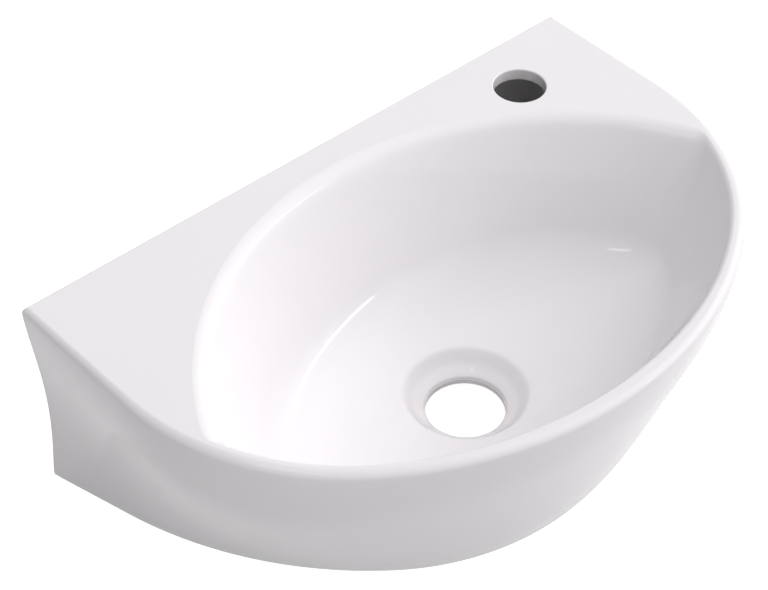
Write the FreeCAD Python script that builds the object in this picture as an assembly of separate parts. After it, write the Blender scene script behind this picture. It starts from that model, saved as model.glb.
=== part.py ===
import FreeCAD, Part
import math
import os

# Wall-hung hand-rinse basin in glazed vitreous china, with the bolts that hang it on a wall.
#
# Frame: the origin lies on the wall's face, half-way between the two wall bolts. +Y runs into
# the wall, +Z is up, and +X is the right-hand side of a person who stands at the basin.
# "Depth" below always means the distance down from the rim's flat top.
#
# Seen from above, the basin has one straight side against the wall and a bowed front. Each
# plan outline is a side line, a shoulder arc and a nose arc, tangent to each other, and the
# same on the left. The bowl is a lens: a back arc and the rim's own front, with soft corners.

os.makedirs("parts", exist_ok=True)
Vec = FreeCAD.Vector

# ---------------------------------------------------------------- driving dimensions, mm
# Whole basin
rim_width = 430.0            # along the wall
rim_reach = 280.0            # from the wall to the nose
height = 150.0               # from the rim's top to the foot
rim_roll = 4.5               # rounding of the rim's outer edge
foot_roll = 7.0              # rounding of the foot's outer edge
wall_edge_roll = 2.0         # rounding of the long edges along the wall
shoulder_angle = 38.0        # where the nose arc ends, in degrees from straight ahead

# Outer wall, one station a line, from the rim down: share of the height, how far the wall
# has drawn in from the rim at the wall and at the nose, lean of the side in degrees from
# square to the wall, and radius of the nose arc.
outer_stations = (
    (0.00, 0.0, 0.0, 0.3, 243.0),
    (0.15, 2.1, 3.3, -1.2, 260.0),
    (0.40, 6.6, 15.2, 1.0, 247.0),
    (0.70, 8.1, 29.5, 7.1, 202.0),
    (1.00, 4.2, 49.2, 15.6, 164.0),
)

# Bowl
bowl_back_radius = 211.5     # of the back arc, at the rim
bowl_back_margin = 27.5      # from the wall to the back arc
nose_land = 11.0             # from the rim's outer edge to the bowl, at the nose
side_land = 8.3              # the same round the shoulders
bowl_draft = 24.5            # lean of the bowl's wall, in degrees
bowl_corner_top = 9.0        # corner radius of the lens at the rim, before the roundings widen it
bowl_corner_low = 36.0       # the same at the depth of the dish
back_roll = 11.0             # rounding from the shelf into the bowl
front_roll = 3.0             # rounding of the rim's inner edge, round the front
floor_fall = 14.0            # fall of the bowl's floor to the waste, in degrees
floor_start = 70.0           # depth at which the wall turns into the floor
floor_sweep = 16.0           # how far down that turn reaches
floor_turn = 0.3             # its reach inwards, as a share of the way to the dish

# Waste outlet
waste_set_back = 148.0       # from the wall to the outlet's axis
waste_radius = 25.0
waste_bore_length = 3.5
waste_lip = 0.3              # narrow step at the bore's mouth
lip_roll = 3.0               # rounding from the seat into the bore
seat_radius = 33.0           # where the dish's side eases into the seat for the waste's flange
seat_slope = 35.0            # lean of the seat, in degrees from level
dish_radius = 41.0           # where the floor turns down into the dish
dish_depth = 101.0           # depth of that turn
dish_slope = 52.0            # lean of the dish's side, in degrees from level
dish_roll = 6.0              # rounding of the dish's edge
boss_wall = 14.0             # china round the bore, under the floor
boss_flare = 8.0             # how far the foot of the bore flares out
boss_flare_height = 6.5

# Tap hole
tap_hole_radius = 17.0
tap_hole_right = 144.0       # to the right of the middle
tap_hole_set_back = 41.0     # from the wall
tap_hole_edge = 1.0          # rounding of its upper edge

# Thickness of the china
shelf_thickness = 8.0
skirt_thickness = 12.0
back_wall_thickness = 10.0
shell_thickness = 9.0        # behind and under the bowl
front_fill = 16.0            # the china is solid this far out from the bowl's front

# Wall fixings
fixing_drop = 80.0           # from the rim's top to the bolts
fixing_spacing = 200.0
fixing_hole_radius = 8.0
collar_clearance = 0.3       # round the collar, in the china's hole
bolt_clearance = 0.1         # round the bolt, in the plug, collar, washer and nut
bolt_radius = 5.0
bolt_tip_length = 9.0
bolt_end_chamfer = 1.0
bolt_stand_out = 12.0        # past the nut
plug_radius = 7.0
plug_length = 60.0
plug_tip_wall = 3.0
plug_tip_chamfer = 2.5
collar_flange_radius = 15.0
collar_flange_thickness = 3.0
collar_stop_short = 0.5      # between the collar's end and the wall
washer_radius = 10.0
washer_thickness = 2.0
nut_across_flats = 17.0
nut_height = 8.0
nut_chamfer = 30.0           # slope of the chamfer on the nut's corners, in degrees

# ---------------------------------------------------------------- derived places
rim_z = fixing_drop
foot_z = rim_z - height
rim_half_width = rim_width / 2
waste_y = -waste_set_back
bowl_back_y = -bowl_back_margin - bowl_back_radius
past_wall = 20.0             # how far the side lines run on behind the wall's face, to be cut there
margin = 20.0                # how far a cutting solid passes what it cuts


def polar(centre, radius, angle):
    """A plan point at this angle, measured from straight ahead towards the right."""
    return (centre[0] + radius * math.sin(angle), centre[1] - radius * math.cos(angle))


def angle_of(centre, point):
    """The angle that polar() would need to reach this point from this centre."""
    return math.atan2(point[0] - centre[0], centre[1] - point[1])


def towards(start, end, length):
    """The plan point this far from start on the way to end."""
    span = math.hypot(end[0] - start[0], end[1] - start[1])
    share = length / span
    return (start[0] + (end[0] - start[0]) * share, start[1] + (end[1] - start[1]) * share)


def mirrored(point):
    return (-point[0], point[1])


def at(point, depth):
    return Vec(point[0], point[1], rim_z - depth)


# ---------------------------------------------------------------- plan outlines
def half_outline(half_width, reach, lean, nose_radius):
    """The centres and radii of a plan outline's right half."""
    side = math.radians(lean)
    turn = math.radians(shoulder_angle)
    share = math.sin(side + turn)
    across = half_width * math.cos(side) - (reach - nose_radius) * math.sin(side)
    shoulder_radius = (across - nose_radius * share) / (1 - share)
    nose_centre = (0.0, nose_radius - reach)
    shoulder_centre = polar(nose_centre, nose_radius - shoulder_radius, turn)
    return {
        "half_width": half_width,
        "side": side,
        "turn": turn,
        "nose_centre": nose_centre,
        "nose_radius": nose_radius,
        "shoulder_centre": shoulder_centre,
        "shoulder_radius": shoulder_radius,
    }


def through_stations(share, column):
    """One number of the stations at any share of the height, on the smooth curve through all."""
    total = 0.0
    for this in outer_stations:
        weight = 1.0
        for other in outer_stations:
            if other is not this:
                weight *= (share - other[0]) / (this[0] - other[0])
        total += weight * this[column]
    return total


def outline_at(depth):
    share = depth / height
    side_inset, nose_inset, lean, nose_radius = [through_stations(share, i) for i in (1, 2, 3, 4)]
    return half_outline(rim_half_width - side_inset, rim_reach - nose_inset, lean, nose_radius)


rim_outline = outline_at(0.0)


def arc_points(centre, radius, start_angle, end_angle, count):
    """Evenly spaced plan points along an arc, without its last one."""
    step = (end_angle - start_angle) / count
    return [polar(centre, radius, start_angle + step * i) for i in range(count)]


def both_halves(right, tip):
    """A closed ring of plan points, from its right half's."""
    return right + [tip] + [mirrored(point) for point in reversed(right[1:])]


def outline_points(half, inset):
    """Plan points round the outside, drawn in by inset. Behind the wall they swing round in an arc."""
    side = half["side"]
    side_turn = math.pi / 2 - side
    shoulder = half["shoulder_radius"] - inset
    nose = half["nose_radius"] - inset
    wall_x = half["half_width"] - inset / math.cos(side) + past_wall * math.tan(side)
    swing = wall_x / math.cos(side)
    swing_centre = (0.0, past_wall + swing * math.sin(side))
    side_start = (wall_x, past_wall)
    side_end = polar(half["shoulder_centre"], shoulder, side_turn)
    side_length = math.hypot(side_end[0] - side_start[0], side_end[1] - side_start[1])
    right = arc_points(swing_centre, swing, math.pi, side_turn, 8)
    right += [towards(side_start, side_end, side_length * i / 4) for i in range(4)]
    right += arc_points(half["shoulder_centre"], shoulder, side_turn, half["turn"], 6)
    right += arc_points(half["nose_centre"], nose, half["turn"], 0.0, 5)
    return both_halves(right, polar(half["nose_centre"], nose, 0.0))


def lens_points(back_inset, front_inset, corner_radius):
    """Plan points round the bowl: the back arc and the bowed front, joined by two soft corners."""
    turn = rim_outline["turn"]
    back_centre = (0.0, bowl_back_y)
    back = bowl_back_radius - back_inset
    shoulder_centre = rim_outline["shoulder_centre"]
    shoulder = rim_outline["shoulder_radius"] - side_land - front_inset
    nose_centre = rim_outline["nose_centre"]
    nose = rim_outline["nose_radius"] - side_land - front_inset
    # the corner's centre lies its own radius inside both arcs
    to_back = back - corner_radius
    to_shoulder = shoulder - corner_radius
    gap_x = shoulder_centre[0] - back_centre[0]
    gap_y = shoulder_centre[1] - back_centre[1]
    gap = math.hypot(gap_x, gap_y)
    along = (to_back**2 - to_shoulder**2 + gap**2) / (2 * gap)
    aside = math.sqrt(to_back**2 - along**2)
    corner = (
        back_centre[0] + (along * gap_x + aside * gap_y) / gap,
        back_centre[1] + (along * gap_y - aside * gap_x) / gap,
    )
    back_turn = angle_of(back_centre, corner)
    front_turn = angle_of(shoulder_centre, corner)
    right = arc_points(back_centre, back, math.pi, back_turn, 9)
    right += arc_points(corner, corner_radius, back_turn, front_turn, 4)
    right += arc_points(shoulder_centre, shoulder, front_turn, turn, 4)
    # the land widens smoothly from the shoulder to the nose
    for i in range(5):
        angle = turn * (1 - i / 5)
        widening = (nose_land - side_land) * (1 + math.cos(math.pi * angle / turn)) / 2
        right.append(polar(nose_centre, nose - widening, angle))
    return both_halves(right, polar(nose_centre, nose + side_land - nose_land, 0.0))


def running_lengths(points):
    """The distance gone round a closed ring on reaching each point, and on coming back."""
    lengths = [0.0]
    for a, b in zip(points, points[1:] + points[:1]):
        lengths.append(lengths[-1] + math.hypot(b[0] - a[0], b[1] - a[1]))
    return lengths


def skinned(rings):
    """A solid with one smooth skin over rings of (plan points, depth), closed by flat ends.

    Each ring is a closed curve through its points. Down the solid the skin follows the rings
    as a cubic spline follows its poles, so it never ripples between them.
    """
    knots = running_lengths(rings[len(rings) // 2][0])
    poles = []
    for points, depth in rings:
        curve = Part.BSplineCurve()
        places = [at(point, depth) for point in points]
        curve.interpolate(Points=places, PeriodicFlag=True, Parameters=knots)
        poles.append(curve.getPoles())
    spans = len(rings) - 3
    surface = Part.BSplineSurface()
    surface.buildFromPolesMultsKnots(
        poles=poles,
        umults=[4] + [1] * (spans - 1) + [4],
        vmults=curve.getMultiplicities(),
        uknots=[float(i) for i in range(spans + 1)],
        vknots=curve.getKnots(),
        uperiodic=False,
        vperiodic=True,
        udegree=3,
        vdegree=3,
    )
    side = surface.toShape()
    faces = [side]
    for edge in side.Edges:
        if edge.BoundBox.ZLength < 0.001:
            faces.append(Part.Face(Part.Wire([edge])))
    shell = Part.Shell(faces)
    shell.sewShape()
    return Part.Solid(shell)


# ---------------------------------------------------------------- outside of the china
def rolled_in(roll, level):
    """How far a rounded edge has drawn in, at this distance from the flat face it runs into."""
    if level >= roll:
        return 0.0
    return roll - math.sqrt(roll**2 - (roll - level)**2)


def outside():
    """The basin's outside, rounded at the rim and at the foot, and cut off at the wall."""
    rings = []
    swings = [math.pi / 2 * share for share in (0.0, 0.08, 0.33, 0.67, 1.0)]
    depths = [rim_roll * (1 - math.cos(swing)) for swing in swings]
    start, end = rim_roll, height - foot_roll
    depths += [start + (end - start) * i / 9 for i in range(1, 9)]
    depths += [height - foot_roll * (1 - math.cos(swing)) for swing in reversed(swings)]
    for depth in depths:
        inset = rolled_in(rim_roll, depth) + rolled_in(foot_roll, height - depth)
        rings.append((outline_points(outline_at(depth), inset), depth))
    return skinned(rings).common(wall_slab())


def wall_slab():
    """All that lies before the wall's face, with the two long edges there rounded."""
    near = -rim_reach - margin
    roll = wall_edge_roll
    corner = roll * (1 - math.sqrt(0.5))
    low, high = foot_z, rim_z
    side_x = -rim_half_width - margin

    def p(y, z):
        return Vec(side_x, y, z)

    edges = [
        Part.LineSegment(p(near, low), p(-roll, low)).toShape(),
        Part.Arc(p(-roll, low), p(-corner, low + corner), p(0, low + roll)).toShape(),
        Part.LineSegment(p(0, low + roll), p(0, high - roll)).toShape(),
        Part.Arc(p(0, high - roll), p(-corner, high - corner), p(-roll, high)).toShape(),
        Part.LineSegment(p(-roll, high), p(near, high)).toShape(),
        Part.LineSegment(p(near, high), p(near, low)).toShape(),
    ]
    return Part.Face(Part.Wire(edges)).extrude(Vec(-2 * side_x, 0, 0))


# ---------------------------------------------------------------- bowl
draft = math.radians(bowl_draft)


def wall_inset(depth, roll):
    """How far the bowl's wall has drawn in at this depth, with the rounding at its top."""
    if depth < roll * (1 - math.sin(draft)):
        level_start = roll * math.tan((math.pi / 2 - draft) / 2)
        return math.sqrt(roll**2 - (roll - depth)**2) - level_start
    return depth * math.tan(draft)


def bezier(a, b, c, d, t):
    """A point of the cubic curve from a to d that sets out towards b and arrives from c."""
    u = 1 - t
    weights = (u**3, 3 * u**2 * t, 3 * u * t**2, t**3)
    return tuple(sum(w * p[i] for w, p in zip(weights, (a, b, c, d))) for i in range(2))


def bowl_wall(back_grow, front_grow):
    """Rings down the bowl's wall, as (plan points, depth), drawn outwards by the two grows."""
    if back_grow:
        depths = [0.0]
    else:
        swing = math.pi / 2 - draft
        shares = (0.0, 0.06, 0.25, 0.5, 0.75, 1.0)
        depths = [back_roll * (1 - math.cos(swing * share)) for share in shares]
    start = depths[-1]
    depths += [start + (floor_start - start) * share for share in (0.1, 0.35, 0.65, 0.9, 1.0)]
    rings = []
    for depth in depths:
        back = wall_inset(depth, 0.0 if back_grow else back_roll) - back_grow
        front = wall_inset(depth, 0.0 if back_grow else front_roll) - front_grow
        opening = (bowl_corner_low - bowl_corner_top) * depth / dish_depth
        widening = depth * math.tan(draft) - (back + front + back_grow + front_grow) / 2
        rings.append((lens_points(back, front, bowl_corner_top + opening + widening + back_grow), depth))
    return rings


def ring_towards(outer, radius_of):
    """A ring round the outlet's axis: each point stays in its direction from that axis."""
    centre = (0.0, waste_y)
    ring = []
    for point in outer:
        reach = math.hypot(point[0], point[1] - waste_y)
        ring.append(towards(centre, point, radius_of(reach)))
    return ring


def bowl_floor(outer, inner_radius, lowered):
    """Rings from the foot of the wall in to the dish, all on one curve of run against depth."""
    sink = math.radians(floor_fall)
    start = (1.0, floor_start)
    start_pull = (1.0 - floor_turn * math.sin(draft), floor_start + floor_sweep * math.cos(draft))
    end = (0.0, dish_depth)
    end_pull = (floor_turn * 1.5, dish_depth - floor_sweep * math.tan(sink))
    rings = []
    steps = 7
    for i in range(1, steps + 1):
        run, depth = bezier(start, start_pull, end_pull, end, i / steps)
        ring = ring_towards(outer, lambda reach: inner_radius + (reach - inner_radius) * run)
        rings.append((ring, depth + lowered * (1 - run)))
    return rings


def dish_rings(outer):
    """Rings over the dish's rounded edge, down its side, over the seat and its lip to the bore."""
    rings = []
    for radius, depth in dish_profile:
        rings.append((ring_towards(outer, lambda reach: radius), depth))
    return rings


def rolled_over(start, roll, first, last):
    """Three steps of (radius, depth) over a rounded edge, as its lean goes from first to last."""
    steps = []
    for i in (1, 2, 3):
        lean = first + (last - first) * i / 3
        radius = start[0] - roll * (math.sin(lean) - math.sin(first))
        steps.append((radius, start[1] + roll * (math.cos(first) - math.cos(lean))))
    return steps


def straight_down(start, end_radius, lean):
    """Two steps of (radius, depth) in along a straight lean."""
    run = start[0] - end_radius
    return [(start[0] - run * share, start[1] + run * share * math.tan(lean)) for share in (0.5, 1.0)]


floor_lean = math.radians(floor_fall)
side_lean = math.radians(dish_slope)
seat_lean = math.radians(seat_slope)
lip_top_radius = waste_radius + waste_lip + lip_roll * (1 - math.sin(seat_lean))
dish_profile = rolled_over((dish_radius, dish_depth), dish_roll, floor_lean, side_lean)
dish_profile += straight_down(dish_profile[-1], seat_radius, side_lean)
dish_profile += straight_down(dish_profile[-1], lip_top_radius, seat_lean)
dish_profile += rolled_over(dish_profile[-1], lip_roll, seat_lean, math.pi / 2)
bore_mouth_depth = dish_profile[-1][1]
bore_foot_depth = bore_mouth_depth + waste_bore_length
boss_foot_depth = bore_foot_depth + boss_flare_height


def bowl_space():
    """What the water can fill, from the rim down to the bore."""
    rings = bowl_wall(0.0, 0.0)
    outer = rings[-1][0]
    rings += bowl_floor(outer, dish_radius, 0.0)
    rings += dish_rings(outer)
    return skinned(rings)


def bowl_shell():
    """The bowl with its china, to be left standing in the hollow under the basin."""
    grow = shell_thickness / math.cos(draft)
    rings = bowl_wall(grow, front_fill)
    rings += bowl_floor(rings[-1][0], dish_radius + grow, shell_thickness)
    return skinned(rings).fuse(waste_tube(waste_radius + boss_wall, dish_depth, boss_foot_depth))


def waste_tube(radius, top_depth, bottom_depth):
    foot = Vec(0, waste_y, rim_z - bottom_depth)
    return Part.makeCylinder(radius, bottom_depth - top_depth, foot)


# ---------------------------------------------------------------- the china body
def edges_at(shape, z, forward_of):
    """The edges that lie level at z and reach further forward than forward_of."""
    found = []
    for edge in shape.Edges:
        box = edge.BoundBox
        if abs(box.ZMin - z) < 0.01 and abs(box.ZMax - z) < 0.01 and box.YMin < forward_of:
            found.append(edge)
    return found


def hollow():
    """The space under the shelf and the bowl, open below."""
    depths = [height * i / 10 for i in range(11)] + [height + 1]
    block = skinned([(outline_points(outline_at(depth), skirt_thickness), depth) for depth in depths])
    reach = rim_reach + margin
    room = Part.makeBox(
        rim_width,
        reach - back_wall_thickness,
        height - shelf_thickness + margin,
        Vec(-rim_half_width, -reach, foot_z - margin),
    )
    return block.common(room).cut(bowl_shell())


def basin_body():
    body = outside().cut(bowl_space())
    body = body.cut(hollow())
    # waste bore, flared at its foot
    body = body.cut(waste_tube(waste_radius, bore_mouth_depth - 1, bore_foot_depth))
    flare_foot = Vec(0, waste_y, rim_z - boss_foot_depth)
    flare = Part.makeCone(waste_radius + boss_flare, waste_radius, boss_flare_height, flare_foot)
    body = body.cut(flare)
    # tap hole, with its upper edge rounded
    tap_foot = Vec(tap_hole_right, -tap_hole_set_back, rim_z - shelf_thickness - 1)
    body = body.cut(Part.makeCylinder(tap_hole_radius, shelf_thickness + 2, tap_foot))
    tap_edges = []
    for edge in edges_at(body, rim_z, 0.0):
        box = edge.BoundBox
        if box.XMin > tap_hole_right - tap_hole_radius - 1 and box.XLength < 2 * tap_hole_radius + 1:
            if box.YMin > -tap_hole_set_back - tap_hole_radius - 1:
                tap_edges.append(edge)
    body = body.makeFillet(tap_hole_edge, tap_edges)
    for side in (-1, 1):
        body = body.cut(along_wall_axis(side, fixing_hole_radius, -back_wall_thickness - 1, 1))
    return body


# ---------------------------------------------------------------- wall fixings
def along_wall_axis(side, radius, near_y, far_y):
    """A cylinder on the left (-1) or right (1) bolt's axis, between two distances from the wall."""
    start = Vec(side * fixing_spacing / 2, near_y, 0)
    return Part.makeCylinder(radius, far_y - near_y, start, Vec(0, 1, 0))


def cone_on_axis(side, near_radius, far_radius, near_y, far_y):
    start = Vec(side * fixing_spacing / 2, near_y, 0)
    return Part.makeCone(near_radius, far_radius, far_y - near_y, start, Vec(0, 1, 0))


flange_near_y = -back_wall_thickness - collar_flange_thickness
washer_near_y = flange_near_y - washer_thickness
nut_near_y = washer_near_y - nut_height
bolt_near_y = nut_near_y - bolt_stand_out
bolt_hole_radius = bolt_radius + bolt_clearance
bolt_far_y = plug_length - plug_tip_wall - bolt_clearance


def hanger_bolt(side):
    """A headless bolt: machine thread towards the room, wood screw and point in the wall."""
    near_shank_y = bolt_near_y + bolt_end_chamfer
    far_shank_y = bolt_far_y - bolt_tip_length
    bolt = along_wall_axis(side, bolt_radius, near_shank_y, far_shank_y)
    near_end = cone_on_axis(side, bolt_radius - bolt_end_chamfer, bolt_radius, bolt_near_y, near_shank_y)
    point = cone_on_axis(side, bolt_radius, bolt_end_chamfer, far_shank_y, bolt_far_y)
    return bolt.fuse([near_end, point]).removeSplitter()


def wall_plug(side):
    """The nylon plug that sits in the wall round the bolt's wood screw."""
    shank_far_y = plug_length - plug_tip_chamfer
    plug = along_wall_axis(side, plug_radius, 0, shank_far_y)
    tip_radius = plug_radius - plug_tip_chamfer
    plug = plug.fuse(cone_on_axis(side, plug_radius, tip_radius, shank_far_y, plug_length))
    return plug.cut(along_wall_axis(side, bolt_hole_radius, -1, plug_length - plug_tip_wall))


def fixing_collar(side):
    """The plastic collar that keeps the bolt and washer off the china."""
    sleeve_radius = fixing_hole_radius - collar_clearance
    sleeve = along_wall_axis(side, sleeve_radius, -back_wall_thickness, -collar_stop_short)
    flange = along_wall_axis(side, collar_flange_radius, flange_near_y, -back_wall_thickness)
    collar = sleeve.fuse(flange)
    return collar.cut(along_wall_axis(side, bolt_hole_radius, flange_near_y - 1, 1))


def fixing_washer(side):
    washer = along_wall_axis(side, washer_radius, washer_near_y, flange_near_y)
    return washer.cut(along_wall_axis(side, bolt_hole_radius, washer_near_y - 1, 1))


def fixing_nut(side):
    """A hexagon nut, its corners chamfered on both faces."""
    corner_radius = nut_across_flats / math.sqrt(3)
    corners = []
    for i in range(7):
        angle = math.radians(60 * i)
        x = side * fixing_spacing / 2 + corner_radius * math.cos(angle)
        corners.append(Vec(x, nut_near_y, corner_radius * math.sin(angle)))
    nut = Part.Face(Part.makePolygon(corners)).extrude(Vec(0, nut_height, 0))
    # the chamfer is the nut's overlap with two blunt cones, base to base
    rise = nut_height / 2
    spread = rise / math.tan(math.radians(nut_chamfer))
    rim = nut_across_flats / 2 + spread
    middle_y = nut_near_y + rise
    near = cone_on_axis(side, nut_across_flats / 2, rim, nut_near_y, middle_y)
    far = cone_on_axis(side, rim, nut_across_flats / 2, middle_y, washer_near_y)
    nut = nut.common(near.fuse(far))
    return nut.cut(along_wall_axis(side, bolt_hole_radius, nut_near_y - 1, 1))


# ---------------------------------------------------------------- the pieces, one file each
pieces = {"basin_body": basin_body()}
for side, hand in ((-1, "left"), (1, "right")):
    pieces["hanger_bolt_" + hand] = hanger_bolt(side)
    pieces["wall_plug_" + hand] = wall_plug(side)
    pieces["fixing_collar_" + hand] = fixing_collar(side)
    pieces["fixing_washer_" + hand] = fixing_washer(side)
    pieces["fixing_nut_" + hand] = fixing_nut(side)

for name, shape in pieces.items():
    print(name, "solids", len(shape.Solids), "valid", shape.isValid(), "cm3", round(shape.Volume / 1000, 2))
    shape.exportStep("parts/" + name + ".step")
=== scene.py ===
"""The looks of a small wall-hung wash basin in glazed white china, with the bolts that hang it.

Frame, in metres: the origin is on the wall's face, half-way between the bolts. +Y runs into the
wall, +Z is up and the front is towards -Y. "Depth" is the distance down from the rim's flat top.
"""

import math

import bmesh
import bpy
import numpy as np
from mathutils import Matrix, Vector


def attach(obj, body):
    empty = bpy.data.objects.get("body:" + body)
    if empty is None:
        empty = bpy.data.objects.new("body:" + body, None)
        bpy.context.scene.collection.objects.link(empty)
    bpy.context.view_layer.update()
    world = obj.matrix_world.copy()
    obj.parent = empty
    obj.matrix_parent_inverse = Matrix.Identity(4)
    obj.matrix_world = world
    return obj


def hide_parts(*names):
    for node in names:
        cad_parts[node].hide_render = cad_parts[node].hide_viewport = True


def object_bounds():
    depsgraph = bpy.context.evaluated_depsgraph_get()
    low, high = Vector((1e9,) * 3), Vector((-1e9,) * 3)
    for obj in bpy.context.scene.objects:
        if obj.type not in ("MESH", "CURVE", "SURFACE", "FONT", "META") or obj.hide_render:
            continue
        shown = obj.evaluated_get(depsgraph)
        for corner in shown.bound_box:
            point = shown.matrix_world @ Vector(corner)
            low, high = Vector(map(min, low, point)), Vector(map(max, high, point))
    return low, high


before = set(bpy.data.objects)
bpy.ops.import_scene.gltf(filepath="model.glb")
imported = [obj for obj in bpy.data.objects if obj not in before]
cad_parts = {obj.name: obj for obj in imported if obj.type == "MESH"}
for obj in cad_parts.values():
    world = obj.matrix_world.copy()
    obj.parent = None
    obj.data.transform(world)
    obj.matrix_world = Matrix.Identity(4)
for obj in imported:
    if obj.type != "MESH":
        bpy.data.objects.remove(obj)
cad_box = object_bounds()

# ================================================================ camera
# The photograph is taken from above the basin's left front, with a long lens and no shift.
view_turn, view_height, view_distance = -41.57, 43.52, 1.2547
aim = Vector((-0.0511, -0.1295, 0.080))


def direction(turn, height):
    """A unit vector, in degrees: turned to the right from straight ahead, and raised."""
    turn, height = math.radians(turn), math.radians(height)
    return Vector((
        math.sin(turn) * math.cos(height),
        -math.cos(turn) * math.cos(height),
        math.sin(height),
    ))


towards_camera = direction(view_turn, view_height)
camera = bpy.data.objects.new("camera", bpy.data.cameras.new("camera"))
camera.data.lens = 101.8
camera.location = aim + towards_camera * view_distance
camera.rotation_mode = "QUATERNION"
camera.rotation_quaternion = (-towards_camera).to_track_quat("-Z", "Y")
camera.data.clip_start = 0.05
bpy.context.collection.objects.link(camera)
bpy.context.scene.camera = camera
bpy.context.scene.view_settings.view_transform = "Standard"

# ================================================================ light
# A pale room that is brightest to the right. Soft boxes hang overhead, behind on the right and low
# on the left. Two narrow strips throw the fine glints along the bowl's edges.


def soft_box(name, turn, height, distance, width, length, watts):
    lamp = bpy.data.lights.new(name, "AREA")
    lamp.shape = "RECTANGLE"
    lamp.size, lamp.size_y = width, length
    lamp.energy = watts
    lamp.color = (1.0, 0.98, 1.0)
    box = bpy.data.objects.new(name, lamp)
    out = direction(turn, height)
    box.location = aim + out * distance
    box.rotation_mode = "QUATERNION"
    box.rotation_quaternion = out.to_track_quat("Z", "Y")
    bpy.context.collection.objects.link(box)
    return box


broad_boxes = (
    soft_box("top_box", turn=20, height=84, distance=1.8, width=1.6, length=1.2, watts=7.0),
    soft_box("back_box", turn=140, height=60, distance=2.0, width=0.8, length=0.8, watts=8.0),
    soft_box("low_box", turn=-95, height=5, distance=1.8, width=1.0, length=0.35, watts=2.6),
)
for box in broad_boxes:
    box.visible_glossy = False
soft_box("right_strip", turn=62, height=23, distance=1.6, width=1.5, length=0.08, watts=2.2)
soft_box("left_strip", turn=-75, height=66, distance=1.6, width=0.5, length=0.08, watts=0.7)


def new_node(tree, kind, sockets, **settings):
    """A shader node, and its result. Each of its sockets is set, or linked to another's result."""
    node = tree.nodes.new("ShaderNode" + kind)
    for setting, value in settings.items():
        setattr(node, setting, value)
    for socket, value in sockets.items():
        if isinstance(value, bpy.types.NodeSocket):
            tree.links.new(value, node.inputs[socket])
        else:
            node.inputs[socket].default_value = value
    return next((result for result in node.outputs if result.enabled), None)


def math_step(tree, operation, *values):
    """One step of arithmetic. Each value is a number or a node's result."""
    return new_node(tree, "Math", dict(enumerate(values)), operation=operation)


world = bpy.data.worlds.new("pale_room")
world.use_nodes = True
room = world.node_tree
room.nodes.clear()


def bright_side(turn, height, colour):
    """Light that is strongest from one side of the room and fades away round it."""
    places = room.nodes.new("ShaderNodeTexCoord").outputs["Generated"]
    side = direction(turn, height)
    facing = new_node(room, "VectorMath", {0: places, 1: side}, operation="DOT_PRODUCT")
    ahead = math_step(room, "MAXIMUM", facing, 0.0)
    soft = math_step(room, "MULTIPLY", ahead, ahead)
    return new_node(room, "Background", {"Color": colour, "Strength": soft})


def seen_share(tree, mirrored_share):
    """1 for a ray from the camera, this share for one from gloss or glass, and 0 for the rest."""
    ray = tree.nodes.new("ShaderNodeLightPath").outputs
    mirrored = math_step(tree, "MAXIMUM", ray["Is Glossy Ray"], ray["Is Transmission Ray"])
    return math_step(tree, "MULTIPLY_ADD", mirrored, mirrored_share, ray["Is Camera Ray"])


lit_sides = new_node(room, "AddShader", {
    0: bright_side(turn=75, height=15, colour=(1.86, 1.823, 1.86, 1)),
    1: bright_side(turn=-30, height=15, colour=(0.66, 0.647, 0.66, 1)),
})
paper = new_node(room, "Background", {"Color": (1, 1, 1, 1)})
shown = new_node(room, "MixShader", {
    0: seen_share(room, mirrored_share=1.0), 1: lit_sides, 2: paper})
new_node(room, "OutputWorld", {"Surface": shown})
bpy.context.scene.world = world

# ================================================================ floor
# White paper under the basin's foot. It shows as white, in the glaze's reflections too, and keeps
# the basin's faint shadow.
half_floor = 3.0
floor_corners = [
    (x * half_floor, y * half_floor, cad_box[0].z) for x, y in ((-1, -1), (1, -1), (1, 1), (-1, 1))]
floor_mesh = bpy.data.meshes.new("floor")
floor_mesh.from_pydata(floor_corners, [], [(0, 1, 2, 3)])
floor = bpy.data.objects.new("floor", floor_mesh)
bpy.context.collection.objects.link(floor)


def new_finish(name):
    """An empty material, and its node tree."""
    finish = bpy.data.materials.new(name)
    finish.use_nodes = True
    finish.node_tree.nodes.clear()
    return finish, finish.node_tree


floor_finish, sheet = new_finish("white_paper")
paper = new_node(sheet, "BsdfDiffuse", {"Color": (0.6, 0.6, 0.6, 1)})
glow = new_node(sheet, "Emission", {"Strength": 0.95})
glowing = new_node(sheet, "AddShader", {0: paper, 1: glow})
shown = new_node(sheet, "MixShader", {
    0: seen_share(sheet, mirrored_share=0.53), 1: paper, 2: glowing})
new_node(sheet, "OutputMaterial", {"Surface": shown})
floor_mesh.materials.append(floor_finish)

# ================================================================ basin body
# One casting in vitreous china: shelf, rim, lens-shaped bowl with its dish, skirt and back wall,
# hollow underneath. It is slip-cast, glazed white and fired, with no glaze where it meets the wall
# and on the foot it stood on in the kiln.
rim_width, rim_reach, height = 0.430, 0.280, 0.150
rim_roll, foot_roll, wall_edge_roll = 0.0045, 0.007, 0.002
shoulder_turn = math.radians(38.0)
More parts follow.
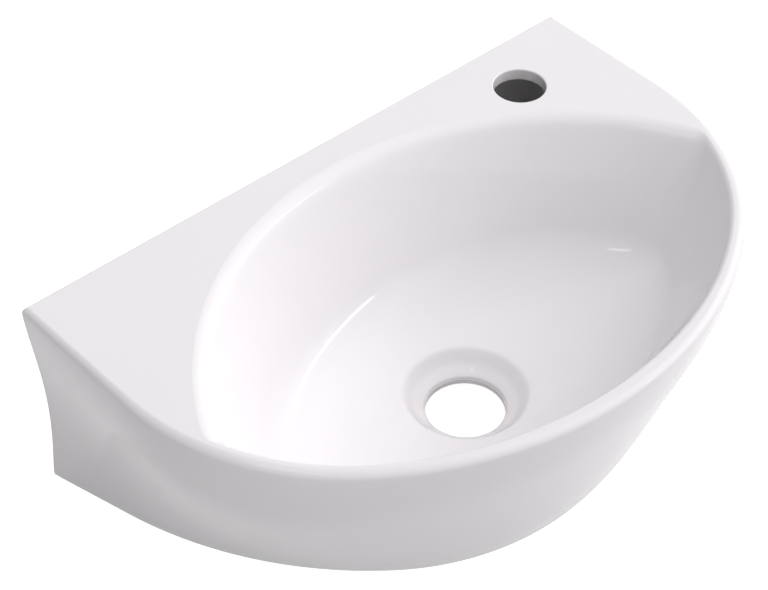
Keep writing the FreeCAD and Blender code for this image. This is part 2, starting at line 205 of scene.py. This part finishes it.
# share of the height, draw-in at the wall and at the nose, lean of the side, radius of the nose
stations = np.array([
    (0.00, 0.0, 0.0, math.radians(0.3), 0.243),
    (0.15, 0.0021, 0.0033, math.radians(-1.2), 0.260),
    (0.40, 0.0066, 0.0152, math.radians(1.0), 0.247),
    (0.70, 0.0081, 0.0295, math.radians(7.1), 0.202),
    (1.00, 0.0042, 0.0492, math.radians(15.6), 0.164),
])
bowl_back_radius, bowl_back_margin = 0.2115, 0.0275
nose_land, side_land = 0.011, 0.0083
bowl_draft = math.radians(24.5)
corner_top, corner_low = 0.009, 0.036
back_roll, front_roll = 0.011, 0.003
floor_fall, floor_start, floor_sweep, floor_turn = math.radians(14.0), 0.070, 0.016, 0.3
waste_set_back, waste_radius, waste_bore_length, waste_lip = 0.148, 0.025, 0.0035, 0.0003
lip_roll, seat_radius, seat_slope = 0.003, 0.033, math.radians(35.0)
dish_radius, dish_depth, dish_roll, dish_slope = 0.041, 0.101, 0.006, math.radians(52.0)
boss_wall, boss_flare, boss_flare_height = 0.014, 0.008, 0.0065
tap_hole_radius, tap_hole_x, tap_hole_y, tap_hole_edge = 0.017, 0.144, -0.041, 0.001
shelf_thickness, skirt_thickness, back_wall_thickness, shell_thickness = 0.008, 0.012, 0.010, 0.009
front_fill = 0.016
fixing_spacing, fixing_hole_radius = 0.200, 0.008
outlet_count, tap_count, hole_count = 128, 96, 64

rim_z = cad_box[1].z
foot_z = rim_z - height
waste_y = -waste_set_back
past_wall = 0.020
margin = 0.020


def polar(centre, radius, angles):
    """Plan points at these angles, measured from straight ahead towards the right."""
    across, out = radius * np.sin(angles), radius * np.cos(angles)
    return np.column_stack([centre[0] + across, centre[1] - out])


def arc(centre, radius, start, end, count):
    """Points along an arc, without its last one."""
    return polar(centre, radius, start + (end - start) * np.arange(count) / count)


def whole_ring(right):
    """A closed ring from its right half, which runs from the back's middle to the nose's tip."""
    return np.vstack([right, right[-2:0:-1] * (-1, 1)])


def outline(depth, inset):
    """The outside in plan at this depth, drawn in by inset. Behind the wall it swings round."""
    share_of_height = stations[:, 0]
    side_in, nose_in, side, nose = [
        np.polyval(np.polyfit(share_of_height, column, 4), depth / height)
        for column in stations[:, 1:].T
    ]
    reach, half_width = rim_reach - nose_in, rim_width / 2 - side_in
    share = math.sin(side + shoulder_turn)
    across = half_width * math.cos(side) - (reach - nose) * math.sin(side)
    shoulder = (across - nose * share) / (1 - share)
    nose_centre = (0.0, nose - reach)
    shoulder_centre = polar(nose_centre, nose - shoulder, shoulder_turn)[0]
    side_turn = math.pi / 2 - side
    side_end = polar(shoulder_centre, shoulder - inset, side_turn)[0]
    wall_x = half_width - inset / math.cos(side) + past_wall * math.tan(side)
    swing = wall_x / math.cos(side)
    swing_centre = (0.0, past_wall + swing * math.sin(side))
    straight = np.linspace((wall_x, past_wall), side_end, 25)[:-1]
    return whole_ring(np.vstack([
        arc(swing_centre, swing, math.pi, side_turn, 16),
        straight,
        arc(shoulder_centre, shoulder - inset, side_turn, shoulder_turn, 36),
        arc(nose_centre, nose - inset, shoulder_turn, 0.0, 44),
        polar(nose_centre, nose - inset, 0.0),
    ]))


rim_side = stations[0, 3]
rim_share = math.sin(rim_side + shoulder_turn)
rim_nose = stations[0, 4]
rim_across = rim_width / 2 * math.cos(rim_side) - (rim_reach - rim_nose) * math.sin(rim_side)
rim_shoulder = (rim_across - rim_nose * rim_share) / (1 - rim_share)
rim_nose_centre = np.array((0.0, rim_nose - rim_reach))
rim_shoulder_centre = polar(rim_nose_centre, rim_nose - rim_shoulder, shoulder_turn)[0]


def lens(back_inset, front_inset, corner_radius):
    """The bowl's plan outline: a back arc and the bowed front, joined by two soft corners."""
    back_centre = np.array((0.0, -bowl_back_margin - bowl_back_radius))
    back = bowl_back_radius - back_inset
    shoulder = rim_shoulder - side_land - front_inset
    nose_turns = np.linspace(shoulder_turn, 0.0, 37)
    widening = (nose_land - side_land) * (1 + np.cos(math.pi * nose_turns / shoulder_turn)) / 2
    nose = rim_nose - side_land - front_inset - widening
    gap = rim_shoulder_centre - back_centre
    span = np.hypot(*gap)
    to_back, to_shoulder = back - corner_radius, shoulder - corner_radius
    along = (to_back**2 - to_shoulder**2 + span**2) / (2 * span)
    aside = math.sqrt(to_back**2 - along**2)
    corner = back_centre + (along * gap + aside * np.array((gap[1], -gap[0]))) / span
    back_turn = math.atan2(corner[0], back_centre[1] - corner[1])
    front_turn = math.atan2(corner[0] - rim_shoulder_centre[0], rim_shoulder_centre[1] - corner[1])
    return whole_ring(np.vstack([
        arc(back_centre, back, math.pi, back_turn, 48),
        arc(corner, corner_radius, back_turn, front_turn, 20),
        arc(rim_shoulder_centre, shoulder, front_turn, shoulder_turn, 24),
        polar(rim_nose_centre, nose, nose_turns),
    ]))


def at_depth(ring, depth):
    return np.column_stack([ring, np.full(len(ring), rim_z - depth)])


def skinned(rings, rows):
    """Rows of a smooth skin that follows the rings as a cubic spline follows its poles."""
    rings = np.array(rings)
    spans = len(rings) - 3
    knots = np.concatenate([[0] * 3, np.arange(spans + 1), [spans] * 3]).astype(float)
    places = np.linspace(0, spans, rows)
    places[-1] -= 1e-9
    weights = ((knots[:-1] <= places[:, None]) & (places[:, None] < knots[1:])).astype(float)
    for order in (1, 2, 3):
        left = knots[order:-1] - knots[:-order - 1]
        right = knots[order + 1:] - knots[1:-order]
        rise = (places[:, None] - knots[:-order - 1]) / np.where(left > 0, left, 1) * (left > 0)
        fall = (knots[order + 1:] - places[:, None]) / np.where(right > 0, right, 1) * (right > 0)
        weights = rise * weights[:, :-1] + fall * weights[:, 1:]
    return np.einsum("ij,jkl->ikl", weights, rings)


def closed_solid(name, rows, looped=False):
    """A closed mesh of quads between the rows. Its ends are flat faces, or meet if it is looped."""
    count = len(rows[0])
    faces = []
    for i in range(len(rows) if looped else len(rows) - 1):
        here, there = i * count, (i + 1) % len(rows) * count
        for j in range(count):
            k = (j + 1) % count
            faces.append((here + j, here + k, there + k, there + j))
    if not looped:
        faces.append(tuple(range(count))[::-1])
        faces.append(tuple((len(rows) - 1) * count + j for j in range(count)))
    mesh = bpy.data.meshes.new(name)
    mesh.from_pydata(np.concatenate(rows).tolist(), [], faces)
    shape = bmesh.new()
    shape.from_mesh(mesh)
    bmesh.ops.recalc_face_normals(shape, faces=shape.faces)
    shape.to_mesh(mesh)
    shape.free()
    solid = bpy.data.objects.new(name, mesh)
    bpy.context.collection.objects.link(solid)
    return solid


def turns(count):
    """Evenly spaced angles, once round."""
    return np.arange(count) * 2 * math.pi / count


def turned(name, profile, centre, axis, count, looped=False):
    """A solid round an axis. The profile gives (radius, distance along the axis), end to end, and
    a radius may be one number or one for each of count directions."""
    turn = turns(count)
    rows = []
    for radius, along in profile:
        ring = np.column_stack([radius * np.cos(turn), radius * np.sin(turn)])
        rows.append(np.column_stack([ring, np.full(count, along)]))
    solid = closed_solid(name, rows, looped)
    place = Vector((0, 0, 1)).rotation_difference(Vector(axis)).to_matrix().to_4x4()
    place.translation = centre
    solid.data.transform(place)
    return solid


def combine(solid, other, operation):
    """Applies one boolean, and takes the other solid away."""
    step = solid.modifiers.new(operation, "BOOLEAN")
    step.operation, step.object, step.solver = operation, other, "EXACT"
    result = solid.evaluated_get(bpy.context.evaluated_depsgraph_get())
    made = bpy.data.meshes.new_from_object(result)
    solid.modifiers.clear()
    solid.data = made
    bpy.data.objects.remove(other)


def rolled(roll, level):
    """How far a rounded edge has drawn in, at this distance from the flat face it runs into."""
    return 0.0 if level >= roll else roll - math.sqrt(roll**2 - (roll - level)**2)


# outside, rounded at the rim and at the foot
swings = np.array((0.0, 0.08, 0.33, 0.67, 1.0)) * math.pi / 2
depths = np.concatenate([
    rim_roll * (1 - np.cos(swings)),
    np.linspace(rim_roll, height - foot_roll, 10)[1:-1],
    height - foot_roll * (1 - np.cos(swings[::-1])),
])
outside = []
for depth in depths:
    inset = rolled(rim_roll, depth) + rolled(foot_roll, height - depth)
    outside.append(at_depth(outline(depth, inset), depth))
body = closed_solid("basin_body_glazed", skinned(outside, rows=120))

# cut off at the wall's face, with its two long edges rounded
quarter = np.linspace(0, math.pi / 2, 7)
in_by_sine = wall_edge_roll * (1 - np.sin(quarter))
in_by_cosine = wall_edge_roll * (1 - np.cos(quarter))
section = [(-rim_reach - margin, foot_z)]
section += list(zip(-in_by_sine, foot_z + in_by_cosine))
section += list(zip(-in_by_cosine, rim_z - in_by_sine))
section += [(-rim_reach - margin, rim_z)]
slab_half = rim_width / 2 + margin


def bar(name, section):
    """A bar that runs past the basin on both sides. Its section gives (y, z), corner by corner."""
    return closed_solid(name, [
        np.array([(x, y, z) for y, z in section]) for x in (-slab_half, slab_half)])


combine(body, bar("slab", section), "INTERSECT")


def wall_inset(depth, roll):
    """How far the bowl's wall has drawn in at this depth, with the rounding at its top."""
    if depth < roll * (1 - math.sin(bowl_draft)):
        roll_start = roll * math.tan((math.pi / 2 - bowl_draft) / 2)
        return math.sqrt(roll**2 - (roll - depth)**2) - roll_start
    return depth * math.tan(bowl_draft)


def bowl_wall(depths, back_roll, front_roll, back_grow, front_grow):
    rings = []
    for d in depths:
        back, front = wall_inset(d, back_roll), wall_inset(d, front_roll)
        corner_radius = corner_top + (corner_low - corner_top) * d / dish_depth + back_grow
        corner_radius += d * math.tan(bowl_draft) - (back + front) / 2
        rings.append(at_depth(lens(back - back_grow, front - front_grow, corner_radius), d))
    return rings


def ring_towards(outer, radius_of, depth):
    """A ring round the outlet's axis: each point stays in its direction from that axis."""
    centre = np.array((0.0, waste_y))
    out = outer[:, :2] - centre
    reach = np.hypot(*out.T)
    return at_depth(centre + out * (radius_of(reach) / reach)[:, None], depth)


def bowl_floor(outer, inner_radius, lowered):
    """Rings from the foot of the wall in to the dish, on one cubic curve of run against depth."""
    pulls = np.array([
        (1.0, floor_start),
        (1.0 - floor_turn * math.sin(bowl_draft), floor_start + floor_sweep * math.cos(bowl_draft)),
        (floor_turn * 1.5, dish_depth - floor_sweep * math.tan(floor_fall)),
        (0.0, dish_depth),
    ])
    rings = []
    for t in np.arange(1, 8) / 7:
        run, depth = np.array(((1 - t)**3, 3 * (1 - t)**2 * t, 3 * (1 - t) * t**2, t**3)) @ pulls
        depth += lowered * (1 - run)
        rings.append(ring_towards(
            outer, lambda reach: inner_radius + (reach - inner_radius) * run, depth))
    return rings


# bowl: rolled mouth, leaning wall, swept floor, dish
swings = np.array((0.0, 0.06, 0.25, 0.5, 0.75, 1.0)) * (math.pi / 2 - bowl_draft)
down_the_wall = np.array((0.1, 0.35, 0.65, 0.9, 1.0))
mouth = back_roll * (1 - np.cos(swings))
wall_depths = np.concatenate([mouth, mouth[-1] + (floor_start - mouth[-1]) * down_the_wall])
rings = bowl_wall(wall_depths, back_roll, front_roll, 0.0, 0.0)
foot_ring = rings[-1]
rings += bowl_floor(foot_ring, dish_radius, 0.0)


def rolled_over(start, roll, first, last):
    """Steps of (radius, depth) over a rounded edge, as its lean goes from first to last."""
    leans = first + (last - first) * np.arange(1, 4) / 3
    radii = start[0] - roll * (np.sin(leans) - math.sin(first))
    return list(zip(radii, start[1] + roll * (math.cos(first) - np.cos(leans))))


def straight_down(start, end_radius, lean):
    """Two steps of (radius, depth) down a cone."""
    runs = (start[0] - end_radius) * np.array((0.5, 1.0))
    return list(zip(start[0] - runs, start[1] + runs * math.tan(lean)))


lip_top = waste_radius + waste_lip + lip_roll * (1 - math.sin(seat_slope))
profile = rolled_over((dish_radius, dish_depth), dish_roll, floor_fall, dish_slope)
profile += straight_down(profile[-1], seat_radius, dish_slope)
profile += straight_down(profile[-1], lip_top, seat_slope)
profile += rolled_over(profile[-1], lip_roll, seat_slope, math.pi / 2)
for radius, depth in profile:
    rings.append(ring_towards(foot_ring, lambda reach: np.full(len(reach), radius), depth))
bore_mouth_depth = profile[-1][1]
bore_foot_depth = bore_mouth_depth + waste_bore_length
boss_foot_depth = bore_foot_depth + boss_flare_height
bowl = closed_solid("bowl", skinned(rings, rows=180))
combine(body, bowl, "DIFFERENCE")

# hollow underneath, with the bowl's shell and the waste's boss left standing in it
below_foot = height + 0.002
block = closed_solid("block", [
    at_depth(outline(d, skirt_thickness), d) for d in np.linspace(shelf_thickness, below_foot, 30)])
combine(block, bar("back_cut", [
    (-back_wall_thickness, foot_z - margin), (-back_wall_thickness, rim_z + margin),
    (rim_reach, rim_z + margin), (rim_reach, foot_z - margin)]), "DIFFERENCE")
grow = shell_thickness / math.cos(bowl_draft)
shell_depths = np.concatenate([[0.0], floor_start * down_the_wall])
shell_rings = bowl_wall(shell_depths, 0.0, 0.0, grow, front_fill)
shell_rings += bowl_floor(shell_rings[-1], dish_radius + grow, shell_thickness)
combine(block, closed_solid("shell", skinned(shell_rings, rows=80)), "DIFFERENCE")
outlet, upwards = Vector((0, waste_y, rim_z)), (0, 0, 1)
boss_profile = [(waste_radius + boss_wall, depth) for depth in (-boss_foot_depth, -dish_depth)]
combine(block, turned("boss", boss_profile, outlet, upwards, outlet_count), "DIFFERENCE")
combine(body, block, "DIFFERENCE")

# waste bore, flared at its foot, tap hole with a rounded upper edge, and the two fixing holes
past_face = 0.001
bore_profile = [
    (waste_radius + boss_flare, -boss_foot_depth), (waste_radius, -bore_foot_depth),
    (waste_radius, -bore_mouth_depth + past_face)]
combine(body, turned("bore", bore_profile, outlet, upwards, outlet_count), "DIFFERENCE")
tap_profile = [(tap_hole_radius, -shelf_thickness - past_face)]
tap_profile += list(zip(
    tap_hole_radius + tap_hole_edge * (1 - np.cos(quarter)), tap_hole_edge * (np.sin(quarter) - 1)))
tap_profile += [(tap_hole_radius + tap_hole_edge, past_face)]
tap_axis = Vector((tap_hole_x, tap_hole_y, rim_z))
tap_hole = turned("tap_hole", tap_profile, tap_axis, upwards, tap_count)
combine(body, tap_hole, "DIFFERENCE")
into_wall = (0, 1, 0)
hands = ((-1, "left"), (1, "right"))


def bolt_axis(side):
    """Where a bolt's axis crosses the wall's face."""
    return Vector((side * fixing_spacing / 2, 0, 0))


hole_profile = [
    (fixing_hole_radius, -back_wall_thickness - past_face), (fixing_hole_radius, past_face)]
for side, hand in hands:
    hole = turned("fixing_hole_" + hand, hole_profile, bolt_axis(side), into_wall, hole_count)
    combine(body, hole, "DIFFERENCE")


def smoothed(solid, degrees):
    """Smooth shading, with a crisp edge wherever the surface turns by more than these degrees."""
    for face in solid.data.polygons:
        face.use_smooth = True
    solid.data.set_sharp_from_angle(angle=math.radians(degrees))
    fair = solid.modifiers.new("fair_normals", "WEIGHTED_NORMAL")
    fair.keep_sharp = True
    fair.weight = 100


smoothed(body, degrees=30)


def new_group(name, outputs, inputs=()):
    """An empty shader group with these sockets, as (name, kind), and its output sockets."""
    group = bpy.data.node_groups.new(name, "ShaderNodeTree")
    for way, sockets in (("INPUT", inputs), ("OUTPUT", outputs)):
        for title, kind in sockets:
            group.interface.new_socket(title, in_out=way, socket_type="NodeSocket" + kind)
    return group, group.nodes.new("NodeGroupOutput").inputs


def placed(tree, group, **values):
    """Places a group in a material with its own values, and gives its output sockets."""
    node = tree.nodes.new("ShaderNodeGroup")
    node.node_tree = group
    for title, value in values.items():
        node.inputs[title].default_value = value
    return node.outputs


def noise(tree, scale, detail, roughness=0.5):
    """Noise that stays fixed to the piece. Scale counts features in a metre."""
    places = tree.nodes.new("ShaderNodeTexCoord").outputs["Object"]
    return new_node(tree, "TexNoise", {
        "Vector": places, "Scale": scale, "Detail": detail, "Roughness": roughness})


def two_tone(tree, factor, start, low, end, high):
    """A colour that is low up to the factor's start, high from its end, and a blend between."""
    ramp = tree.nodes.new("ShaderNodeValToRGB")
    first, last = ramp.color_ramp.elements
    first.position, last.position = start, end
    first.color, last.color = low, high
    tree.links.new(factor, ramp.inputs["Fac"])
    return ramp.outputs["Color"]


# where the glaze ends: on the face against the wall and on the foot, with a wandering edge
wall_wander, foot_wander, foot_wiped = 0.0012, 0.0018, 0.0004
skin, skin_out = new_group(
    "glaze_skin", (("Bare", "Float"), ("Tone", "Color"), ("Normal", "Vector")))
axes = skin.nodes.new("ShaderNodeSeparateXYZ")
skin.links.new(skin.nodes.new("ShaderNodeNewGeometry").outputs["Position"], axes.inputs[0])
wander = noise(skin, scale=70, detail=1)
wall_edge = math_step(skin, "MULTIPLY_ADD", wander, wall_wander, -wall_wander)
wall_side = math_step(skin, "GREATER_THAN", axes.outputs["Y"], wall_edge)
foot_edge = math_step(skin, "MULTIPLY_ADD", wander, foot_wander, foot_z + foot_wiped)
foot_side = math_step(skin, "LESS_THAN", axes.outputs["Z"], foot_edge)
skin.links.new(math_step(skin, "MAXIMUM", wall_side, foot_side), skin_out["Bare"])
# glaze pools and thins by a hair, so its white drifts a little
white = two_tone(
    skin, noise(skin, scale=9, detail=3),
    start=0.3, low=(0.915, 0.902, 0.912, 1), end=0.7, high=(0.93, 0.918, 0.928, 1))
skin.links.new(white, skin_out["Tone"])
# the fired surface: long soft waves under a fine orange peel
waves = new_node(skin, "Bump", {
    "Distance": 0.00006, "Height": noise(skin, scale=22, detail=1)})
peel = new_node(skin, "Bump", {
    "Distance": 0.000004, "Height": noise(skin, scale=380, detail=2), "Normal": waves})
skin.links.new(peel, skin_out["Normal"])

# the bare fired clay: off-white, chalky and faintly gritty
clay, clay_out = new_group("bare_clay", (("Tone", "Color"), ("Normal", "Vector")))
biscuit = two_tone(
    clay, noise(clay, scale=60, detail=5, roughness=0.6),
    start=0.35, low=(0.66, 0.63, 0.57, 1), end=0.65, high=(0.76, 0.73, 0.68, 1))
grit = new_node(clay, "Bump", {
    "Distance": 0.00005, "Height": noise(clay, scale=900, detail=6, roughness=0.7)})
clay.links.new(biscuit, clay_out["Tone"])
clay.links.new(grit, clay_out["Normal"])

glaze, china = new_finish("glazed_china")
glazed, bare = placed(china, skin), placed(china, clay)
glassy = new_node(china, "BsdfPrincipled", {
    "Base Color": glazed["Tone"], "Normal": glazed["Normal"], "Roughness": 0.07, "IOR": 1.52})
chalky = new_node(china, "BsdfPrincipled", {
    "Base Color": bare["Tone"], "Normal": bare["Normal"], "Roughness": 0.85,
    "Specular IOR Level": 0.25})
fired = new_node(china, "MixShader", {0: glazed["Bare"], 1: glassy, 2: chalky})
new_node(china, "OutputMaterial", {"Surface": fired})
body.data.materials.append(glaze)
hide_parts("basin_body")
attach(body, "root")

# ================================================================ wall plugs
# Two nylon plugs, injection-moulded in grey, pushed into 14 mm holes in the wall. Barbs and four
# grooves let them spread and grip as the bolts go in.
plug_radius, plug_length, plug_tip_wall, plug_tip_chamfer = 0.007, 0.060, 0.003, 0.0025
plug_bore, plug_bore_edge, plug_head_edge = 0.0051, 0.0006, 0.0003
barbs_start, barbs_end, barb_pitch, barb_depth = 0.008, 0.052, 0.004, 0.0007
groove_floor, groove_side, groove_depth = 0.0006, 0.0004, 0.0013
ring_start, ring_step, plug_count = 0.006, 0.0005, 72

turn = turns(plug_count)
off_groove = np.abs((turn / (math.pi / 2) + 0.5) % 1 - 0.5) * math.pi / 2 * plug_radius
groove = np.clip(1 - (off_groove - groove_floor) / groove_side, 0, 1)
plug_profile = [
    (plug_bore, plug_length - plug_tip_wall), (plug_bore, plug_bore_edge),
    (plug_bore + plug_bore_edge, 0.0),
    (plug_radius - plug_head_edge, 0.0), (plug_radius, plug_head_edge)]
for along in np.arange(ring_start, plug_length - plug_tip_chamfer, ring_step):
    inside = barbs_start <= along <= barbs_end
    barb = barb_depth * (1 - (along - barbs_start) / barb_pitch % 1) if inside else 0.0
    plug_profile.append((plug_radius - np.maximum(barb, groove * groove_depth * inside), along))
plug_profile += [
    (plug_radius, plug_length - plug_tip_chamfer), (plug_radius - plug_tip_chamfer, plug_length)]

# a moulded skin: the tone drifts in soft patches, and the mould leaves a fine relief
moulding, moulding_out = new_group(
    "moulded_skin", (("Tone", "Color"), ("Normal", "Vector")), (
        ("Deep", "Color"), ("Pale", "Color"), ("Patches", "Float"), ("Sparks", "Float"),
        ("Relief", "Float")))
given = moulding.nodes.new("NodeGroupInput").outputs
patches = noise(moulding, scale=given["Patches"], detail=4)
sparks = noise(moulding, scale=given["Sparks"], detail=2)
# where a Mix node has its factor and its two colours
factor, first_colour, second_colour = 0, 6, 7
drift = new_node(moulding, "Mix", {
    factor: patches, first_colour: given["Deep"], second_colour: given["Pale"]}, data_type="RGBA")
relief = new_node(moulding, "Bump", {"Distance": given["Relief"], "Height": sparks})
moulding.links.new(drift, moulding_out["Tone"])
moulding.links.new(relief, moulding_out["Normal"])

nylon, plastic = new_finish("grey_nylon")
moulded = placed(
    plastic, moulding, Deep=(0.28, 0.285, 0.29, 1), Pale=(0.36, 0.365, 0.375, 1), Patches=120,
    Sparks=2500, Relief=0.00003)
satin = new_node(plastic, "BsdfPrincipled", {
    "Base Color": moulded["Tone"], "Normal": moulded["Normal"], "Roughness": 0.48, "IOR": 1.53,
    "Subsurface Weight": 0.1, "Subsurface Radius": (0.001, 0.001, 0.001),
    "Subsurface Scale": 1.0})
new_node(plastic, "OutputMaterial", {"Surface": satin})

for side, hand in hands:
    name = "wall_plug_" + hand + "_moulded"
    plug = turned(name, plug_profile, bolt_axis(side), into_wall, plug_count)
    smoothed(plug, degrees=35)
    plug.data.materials.append(nylon)
    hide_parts("wall_plug_" + hand)
    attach(plug, "root")

# ================================================================ hanger bolts
# Two headless M10 hanger bolts in bright zinc-plated steel, which carry the basin. Each has a
# pointed wood screw in its plug, and a rolled machine thread that stands out past the nut.
bolt_radius, bolt_end_chamfer, bolt_tip_length = 0.005, 0.001, 0.009
bolt_near, bolt_far = -0.035, 0.0569
# a thread's root and flank are shares of the way from the middle of its root to its crest
thread_pitch, thread_depth, thread_root, thread_flank = 0.0015, 0.0009, 0.1, 0.75
screw_pitch, screw_depth, screw_root, screw_flank = 0.0036, 0.0014, 0.6, 0.35
thread_end, screw_start, thread_steps, screw_steps = 0.0, 0.004, 8, 12
shank_radius, run_out, blunt_end = 0.0046, 0.0004, 0.0004
bolt_count = 30


def ridge(along, pitch, root, flank):
    """How high a thread stands in each direction: 0 at its root, 1 at its crest."""
    phase = np.abs((along / pitch - turns(bolt_count) / (2 * math.pi)) % 1 * 2 - 1)
    return np.clip((phase - root) / flank, 0, 1)


bolt_profile = []
for along in np.arange(bolt_near, thread_end, thread_pitch / thread_steps):
    cut = thread_depth * (1 - ridge(along, thread_pitch, thread_root, thread_flank))
    chamfered = bolt_radius - bolt_end_chamfer + (along - bolt_near)
    bolt_profile.append((np.minimum(bolt_radius - cut, chamfered), along))
bolt_profile += [(shank_radius, thread_end + run_out), (shank_radius, screw_start - run_out)]
for along in np.arange(screw_start, bolt_far, screw_pitch / screw_steps):
    cut = screw_depth * (1 - ridge(along, screw_pitch, screw_root, screw_flank))
    radius = bolt_radius - cut
    to_go = (bolt_far - along) / bolt_tip_length
    point = to_go * (bolt_radius - bolt_end_chamfer) + bolt_end_chamfer
    bolt_profile.append((np.minimum(radius, point * radius / bolt_radius), along))
bolt_profile.append((blunt_end, bolt_far))

# bright zinc: the plate's tint and shine drift, over fine pits
plating, plating_out = new_group(
    "zinc_skin", (("Tone", "Color"), ("Dull", "Float"), ("Normal", "Vector")))
tint = two_tone(
    plating, noise(plating, scale=260, detail=5, roughness=0.6),
    start=0.35, low=(0.60, 0.61, 0.64, 1), end=0.7, high=(0.74, 0.74, 0.73, 1))
dull = new_node(plating, "MapRange", {
    "Value": noise(plating, scale=700, detail=3), "To Min": 0.22, "To Max": 0.42})
pits = new_node(plating, "Bump", {
    "Distance": 0.00001, "Height": noise(plating, scale=3000, detail=2)})
plating.links.new(tint, plating_out["Tone"])
plating.links.new(dull, plating_out["Dull"])
plating.links.new(pits, plating_out["Normal"])

zinc, steel = new_finish("plated_steel")
plated = placed(steel, plating)
metal = new_node(steel, "BsdfPrincipled", {
    "Base Color": plated["Tone"], "Roughness": plated["Dull"], "Normal": plated["Normal"],
    "Metallic": 1.0})
new_node(steel, "OutputMaterial", {"Surface": metal})

for side, hand in hands:
    name = "hanger_bolt_" + hand + "_threaded"
    bolt = turned(name, bolt_profile, bolt_axis(side), into_wall, bolt_count)
    smoothed(bolt, degrees=50)
    bolt.data.materials.append(zinc)
    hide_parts("hanger_bolt_" + hand)
    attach(bolt, "root")

# ================================================================ fixing collars
# Flanged plastic sleeves, moulded in white, pushed into the china's two holes from inside. They
# keep the steel off the china and take up the play in the holes.
collar_flange_radius, collar_flange_thickness, collar_sleeve = 0.015, 0.003, 0.0077
collar_stop_short, collar_bore, collar_edge = 0.0005, 0.0051, 0.0006
collar_bore_edge, collar_draft, collar_count = 0.0004, 0.0003, 72
flange_far = -back_wall_thickness
flange_near = flange_far - collar_flange_thickness
sleeve_end = -collar_stop_short


def rounded_edge(radius, near, edge):
    """Steps of (radius, distance) from a flat face over its rounded outer edge."""
    bend = np.linspace(0, math.pi / 2, 5)
    return list(zip(radius - edge * (1 - np.sin(bend)), near + edge * (1 - np.cos(bend))))


collar_profile = [
    (collar_bore, sleeve_end), (collar_bore, flange_near + collar_bore_edge),
    (collar_bore + collar_bore_edge, flange_near)]
collar_profile += rounded_edge(collar_flange_radius, flange_near, collar_edge)
collar_profile += [
    (collar_flange_radius - collar_draft, flange_far), (collar_sleeve, flange_far),
    (collar_sleeve, sleeve_end - collar_edge), (collar_sleeve - collar_edge, sleeve_end)]

white_plastic, plastic = new_finish("white_plastic")
moulded = placed(
    plastic, moulding, Deep=(0.80, 0.79, 0.76, 1), Pale=(0.85, 0.845, 0.82, 1), Patches=90,
    Sparks=2200, Relief=0.00002)
satin = new_node(plastic, "BsdfPrincipled", {
    "Base Color": moulded["Tone"], "Normal": moulded["Normal"], "Roughness": 0.35, "IOR": 1.49})
new_node(plastic, "OutputMaterial", {"Surface": satin})

for side, hand in hands:
    name = "fixing_collar_" + hand + "_moulded"
    collar = turned(name, collar_profile, bolt_axis(side), into_wall, collar_count, looped=True)
    smoothed(collar, degrees=40)
    collar.data.materials.append(white_plastic)
    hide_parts("fixing_collar_" + hand)
    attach(collar, "root")

# ================================================================ fixing washers
# Flat washers, stamped from steel strip and zinc-plated, rounded on the side the punch entered
# and left with a crisp edge on the other.
washer_radius, washer_thickness, washer_bore, washer_count = 0.010, 0.002, 0.0051, 72
washer_edge, washer_bore_edge, washer_crisp_edge = 0.0005, 0.0002, 0.0001
washer_near = flange_near - washer_thickness
washer_profile = [
    (washer_bore, flange_near), (washer_bore, washer_near + washer_bore_edge),
    (washer_bore + washer_bore_edge, washer_near)]
washer_profile += rounded_edge(washer_radius, washer_near, washer_edge)
washer_profile += [
    (washer_radius, flange_near - washer_crisp_edge),
    (washer_radius - washer_crisp_edge, flange_near)]
for side, hand in hands:
    name = "fixing_washer_" + hand + "_stamped"
    washer = turned(name, washer_profile, bolt_axis(side), into_wall, washer_count, looped=True)
    smoothed(washer, degrees=40)
    washer.data.materials.append(zinc)
    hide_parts("fixing_washer_" + hand)
    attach(washer, "root")

# ================================================================ fixing nuts
# M10 hexagon nuts, cold-formed and zinc-plated, their corners turned down to a 30 degree chamfer
# on both faces and their bores countersunk. They clamp the basin to the wall.
nut_flats, nut_height, nut_bore, countersink = 0.017, 0.008, 0.0051, 0.0008
nut_slope = math.tan(math.radians(30.0))
nut_near, nut_far, nut_count = washer_near - nut_height, washer_near, 96
hexagon = nut_flats / 2 / np.cos(turns(nut_count) % (math.pi / 3) - math.pi / 6)
rises = np.array((0.0, 0.15, 0.3, 0.5, 0.75, 1.0)) * (hexagon.max() - nut_flats / 2) * nut_slope
turned_down = [np.minimum(hexagon, nut_flats / 2 + rise / nut_slope) for rise in rises]
nut_profile = [
    (nut_bore, nut_far - countersink), (nut_bore, nut_near + countersink),
    (nut_bore + countersink, nut_near)]
nut_profile += zip(turned_down, nut_near + rises)
nut_profile += zip(turned_down[::-1], nut_far - rises[::-1])
nut_profile.append((nut_bore + countersink, nut_far))
for side, hand in hands:
    name = "fixing_nut_" + hand + "_formed"
    nut = turned(name, nut_profile, bolt_axis(side), into_wall, nut_count, looped=True)
    smoothed(nut, degrees=20)
    nut.data.materials.append(zinc)
    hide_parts("fixing_nut_" + hand)
    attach(nut, "root")
